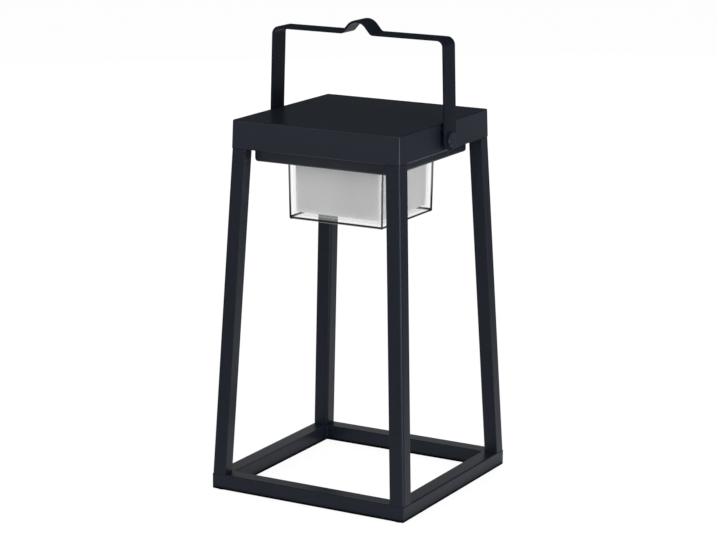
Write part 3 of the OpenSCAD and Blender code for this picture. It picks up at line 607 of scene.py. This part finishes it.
class LANTERN_OT_cover_screws(bpy.types.Operator):
    """Pan head screws with a cross recess that close the cover from below"""

    bl_idname = "lantern.cover_screws"
    bl_label = "Cover screws"

    def execute(self, context):
        sizes = context.scene.lantern_screw
        low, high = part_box("cover_screws")
        first = self.model(sizes, low.z, high.z)
        place = high.x - sizes.head_radius
        screws = [first]
        for x, y in ((-place, -place), (-place, place), (place, -place)):
            bpy.ops.object.select_all(action="DESELECT")
            first.select_set(True)
            context.view_layer.objects.active = first
            bpy.ops.object.duplicate()
            context.object.location = (x, y, 0)
            screws.append(context.object)
        first.location = (place, place, 0)
        for screw in screws:
            screw.select_set(True)
        context.view_layer.objects.active = first
        bpy.ops.object.transform_apply(location=True, rotation=False, scale=False)
        bpy.ops.object.join()
        first.name = "cover_cross_screws"
        first.data.materials.append(bpy.data.materials["zinc_steel"])
        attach(first, "lantern")
        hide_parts("cover_screws")
        return {"FINISHED"}

    def model(self, sizes, low, high):
        """One screw on the axis of the lamp, its head at the height low and its tip at the height high."""
        radius, tall, arm = sizes.head_radius, sizes.head_height, sizes.recess_arm
        tip, rounding, flat_rim, hair = 0.6 * MM, 0.7 * MM, 0.25 * MM, 0.001 * MM
        tip_narrowing, recess_taper = 0.6, 0.72
        reach = 0.9 * (radius - 0.8 * MM)

        def on_the_flat(face):
            return face.normal.z < -0.9999 and face.center.z < low + hair

        def in_the_middle(face):
            return on_the_flat(face) and face.center.xy.length < reach

        def in_the_cross(face):
            return in_the_middle(face) and min(abs(face.center.x), abs(face.center.y)) < arm

        bpy.ops.object.select_all(action="DESELECT")
        bpy.ops.mesh.primitive_cylinder_add(
            vertices=40, radius=radius, depth=tall, end_fill_type="NGON", location=(0, 0, 0)
        )
        screw = bpy.context.object
        screw.location = (0, 0, low + tall / 2)
        bpy.ops.object.transform_apply(location=True, rotation=False, scale=False)
        pick_faces(screw, lambda face: face.normal.z > 0.9)
        bpy.ops.mesh.inset(thickness=radius - sizes.shank_radius)
        move_extrusion(z=high - low - tall - tip)
        move_extrusion(z=tip)
        bpy.ops.transform.resize(value=(tip_narrowing, tip_narrowing, 1))
        pick_faces(screw, lambda face: face.normal.z < -0.9)
        bpy.ops.mesh.bevel(offset=rounding, segments=5, affect="EDGES")
        pick_faces(screw, on_the_flat)
        bpy.ops.mesh.inset(thickness=flat_rim)
        for side in (-1, 1):
            for line in (Vector((1, 0, 0)), Vector((0, 1, 0))):
                pick_faces(screw, in_the_middle)
                bpy.ops.mesh.bisect(plane_co=line * side * arm, plane_no=line)
        pick_faces(screw, in_the_cross)
        move_extrusion(z=sizes.recess_depth)
        bpy.ops.transform.resize(value=(recess_taper, recess_taper, 1))
        bpy.ops.mesh.select_all(action="SELECT")
        bpy.ops.mesh.normals_make_consistent(inside=False)
        bpy.ops.object.mode_set(mode="OBJECT")
        bpy.ops.object.shade_smooth_by_angle(angle=math.radians(30))
        return screw


# Stage


def heading(azimuth, elevation=0.0):
    """The direction from the lamp at these angles. An azimuth of 0 is its front, and 90 degrees its right."""
    return Vector(
        (
            math.sin(azimuth) * math.cos(elevation),
            -math.cos(azimuth) * math.cos(elevation),
            math.sin(elevation),
        )
    )


def soft_light(name, power, width, height, azimuth, elevation, distance, aim=0.16):
    """A rectangular soft light that faces the lamp's axis at the height of its aim, its angles in degrees."""
    back = heading(math.radians(azimuth), math.radians(elevation))
    data = bpy.data.lights.new(name, "AREA")
    data.shape = "RECTANGLE"
    data.energy, data.size, data.size_y = power, width, height
    lamp = bpy.data.objects.new(name, data)
    lamp.location = Vector((0, 0, aim)) + back * distance
    lamp.rotation_mode = "QUATERNION"
    lamp.rotation_quaternion = (-back).to_track_quat("-Z", "Y")
    bpy.context.scene.collection.objects.link(lamp)
    return lamp


class LANTERN_OT_stage(bpy.types.Operator):
    """Floor, soft lights and the camera"""

    bl_idname = "lantern.stage"
    bl_label = "Stage"

    def execute(self, context):
        self.place_camera(context.scene)
        self.lay_floor(context.scene)
        self.light(context.scene)
        self.surround(context.scene)
        return {"FINISHED"}

    def place_camera(self, scene):
        stage = scene.lantern_stage
        roll = stage.camera_roll
        back = heading(stage.camera_azimuth, stage.camera_elevation)
        right = heading(stage.camera_azimuth + math.pi / 2)
        up = back.cross(right)
        right, up = right * math.cos(roll) + up * math.sin(roll), up * math.cos(roll) - right * math.sin(roll)
        target = right * stage.camera_aside + Vector((0, 0, stage.camera_height))
        data = bpy.data.cameras.new("camera")
        data.sensor_width = 36
        data.lens = stage.camera_focal * data.sensor_width / IMAGE_WIDTH
        data.clip_start, data.clip_end = 0.01, 100
        camera = bpy.data.objects.new("camera", data)
        turn = Matrix((right, up, back)).transposed().to_4x4()
        camera.matrix_world = Matrix.Translation(target + back * stage.camera_distance) @ turn
        scene.collection.objects.link(camera)
        scene.camera = camera

    def lay_floor(self, scene):
        """A pale floor. Coats that mirror it see a pool of light and a streak in front of its corner, with a
        painted shadow round the base's rails.
        """
        stage = scene.lantern_stage
        bpy.ops.mesh.primitive_circle_add(vertices=64, radius=30, fill_type="NGON", location=(0, 0, 0))
        floor = bpy.context.object
        floor.name = "floor"
        material, tree, place = new_finish("white_floor")
        light = maths(tree, "MAXIMUM", self.pool(tree, place, stage), self.streak(tree, place, stage))
        # Painted shadow of the base's rails on the light that coats mirror
        light = maths(tree, "MULTIPLY", light, self.painted_rail_shadow(tree, place, scene.lantern_sizes.rail_width))
        matt = add_node(tree, "ShaderNodeBsdfDiffuse", sockets={"Color": [stage.floor_tone] * 3 + [1]})
        white, mirrored = (
            add_node(tree, "ShaderNodeEmission", sockets={"Color": tone, "Strength": strength})
            for tone, strength in (((1, 1, 1, 1), stage.floor_white), ((0.96, 0.98, 1, 1), light))
        )
        by_eye, in_gloss = ray_kinds(tree)
        seen = mixed_shaders(tree, maths(tree, "MULTIPLY", by_eye, stage.floor_even), matt, white)
        close_finish(tree, mixed_shaders(tree, in_gloss, seen, mirrored))
        floor.data.materials.append(material)

    def pool(self, tree, place, stage):
        """An oval pool of light round the lamp, an even floor in front of it, and some light far behind."""
        turn = Matrix.Rotation(stage.pool_turn, 3, "Z")
        oval = add_node(
            tree,
            "ShaderNodeMapping",
            {"vector_type": "TEXTURE"},
            {
                "Vector": place,
                "Location": turn @ Vector((0, stage.pool_shift, 0)),
                "Rotation": (0, 0, stage.pool_turn),
                "Scale": (stage.pool_width / stage.pool_reach, 1, 1),
            },
        ).outputs[0]
        away = vector_maths(tree, "LENGTH", oval)
        ahead = vector_maths(tree, "DOT_PRODUCT", place, turn @ Vector((0, -1, 0)))
        round_it = between(tree, away, stage.pool_reach * stage.pool_core, stage.pool_reach, 1, 0)
        front = between(tree, ahead, 0, stage.pool_front_reach, stage.pool_rest, stage.pool_front)
        behind = between(tree, ahead, -stage.pool_behind_to, -stage.pool_behind_from, stage.pool_behind, 0)
        return maths(tree, "MAXIMUM", round_it, maths(tree, "MAXIMUM", front, behind))

    def streak(self, tree, place, stage):
        """A wedge of light that starts at the front right corner of the base and gains light outwards."""
        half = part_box("base_frame")[1].x
        azimuth = math.radians(KEY_AZIMUTH)
        from_corner = vector_maths(tree, "SUBTRACT", place, (half, -half, 0))
        along = vector_maths(tree, "DOT_PRODUCT", from_corner, heading(azimuth))
        across = vector_maths(tree, "DOT_PRODUCT", from_corner, heading(azimuth + math.pi / 2))
        off = maths(tree, "DIVIDE", maths(tree, "ABSOLUTE", across), maths(tree, "MAXIMUM", along, 1 * MM))
        wedge = between(tree, off, stage.streak_core, stage.streak_spread, 1, 0)
        ending = between(tree, along, stage.streak_fade_from, stage.streak_fade_to, 1, 0)
        ends = maths(tree, "MULTIPLY", maths(tree, "GREATER_THAN", along, 0.0), ending)
        gain = maths(tree, "POWER", between(tree, along, stage.streak_gain_from, stage.streak_gain_to), 2.0)
        light = between(tree, gain, 0, 1, stage.streak_near, stage.streak_far)
        return maths(tree, "MULTIPLY", maths(tree, "MULTIPLY", wedge, ends), light)

    def painted_rail_shadow(self, tree, place, rail_width):
        """Painted shadow of the rails in the floor's mirrored light: nearly nothing under the base frame's
        rails, and one a little way off them.
        """
        dark_to, light_from, under_rails = 6 * MM, 15 * MM, 0.02
        across, along = parts_of(tree, place)[:2]
        from_middle = maths(tree, "MAXIMUM", maths(tree, "ABSOLUTE", across), maths(tree, "ABSOLUTE", along))
        rail_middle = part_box("base_frame")[1].x - rail_width / 2
        from_rail = maths(tree, "ABSOLUTE", maths(tree, "SUBTRACT", from_middle, rail_middle))
        return between(tree, from_rail, dark_to, light_from, under_rails, 1)

    def light(self, scene):
        stage = scene.lantern_stage
        key = soft_light("key_light", stage.key_power, 0.5, 0.5, KEY_AZIMUTH, 6, 1.5)
        soft_light("fill_light", stage.fill_power, 1.4, 1.4, -20, 20, 1.9)
        soft_light("top_light", stage.top_power, 1.4, 1.4, 10, 80, 1.6)
        side = soft_light("side_light", stage.side_power, 0.9, 0.9, 75, 0, 1.5)
        back = soft_light("back_light", stage.back_power, 1.4, 1.4, 218, 18, 1.9)
        card = soft_light("back_card", stage.card_power, 1.6, 0.26, 209, 0, 0.7, aim=0.15)
        for lamp in (key, side, back):
            lamp.visible_glossy = lamp.visible_camera = False
        card.visible_diffuse = card.visible_camera = False

    def surround(self, scene):
        """Even light from all round, which is darker where coats mirror it and white to the camera."""
        stage = scene.lantern_stage
        world = bpy.data.worlds.new("room")
        tree = empty_tree(world)
        soft, mirrored, white = (
            add_node(tree, "ShaderNodeBackground", sockets={"Color": tone, "Strength": strength})
            for tone, strength in (
                ((1, 1, 1, 1), stage.room_light),
                ((0.8, 0.93, 1, 1), stage.room_gloss),
                ((1, 1, 1, 1), 1.0),
            )
        )
        by_eye, in_gloss = ray_kinds(tree)
        room = mixed_shaders(tree, by_eye, mixed_shaders(tree, in_gloss, soft, mirrored), white)
        add_node(tree, "ShaderNodeOutputWorld", sockets={"Surface": room.outputs[0]})
        scene.world = world
        scene.view_settings.view_transform = "Standard"


PIECES = (
    LANTERN_OT_stage,
    LANTERN_OT_metalwork,
    LANTERN_OT_mouldings,
    LANTERN_OT_light_cup,
    LANTERN_OT_inside,
    LANTERN_OT_cover_screws,
)
GROUPS = {
    "lantern_sizes": LanternSizes,
    "lantern_cup": LanternCup,
    "lantern_screw": LanternScrew,
    "lantern_colours": LanternColours,
    "lantern_stage": LanternStage,
}


class LANTERN_PT_panel(bpy.types.Panel):
    """Lists the lamp's pieces, sizes and colours"""

    bl_idname = "LANTERN_PT_panel"
    bl_label = "Lantern lamp"
    bl_space_type = "VIEW_3D"
    bl_region_type = "UI"
    bl_category = "Lantern lamp"

    def draw(self, context):
        for piece in PIECES:
            self.layout.operator(piece.bl_idname)
        for group_name in GROUPS:
            group = getattr(context.scene, group_name)
            box = self.layout.box()
            for name in group.__annotations__:
                box.prop(group, name)


def register():
    for kind in (*GROUPS.values(), *PIECES, LANTERN_PT_panel):
        bpy.utils.register_class(kind)
    for name, kind in GROUPS.items():
        setattr(bpy.types.Scene, name, PointerProperty(type=kind))


def unregister():
    for name in GROUPS:
        delattr(bpy.types.Scene, name)
    for kind in (LANTERN_PT_panel, *reversed(PIECES), *GROUPS.values()):
        bpy.utils.unregister_class(kind)


def main():
    register()
    bpy.ops.object.select_all(action="DESELECT")
    bpy.ops.lantern.stage()
    bpy.ops.lantern.metalwork()
    bpy.ops.lantern.mouldings()
    bpy.ops.lantern.light_cup()
    bpy.ops.lantern.inside()
    bpy.ops.lantern.cover_screws()


if __name__ == "__main__":
    main()
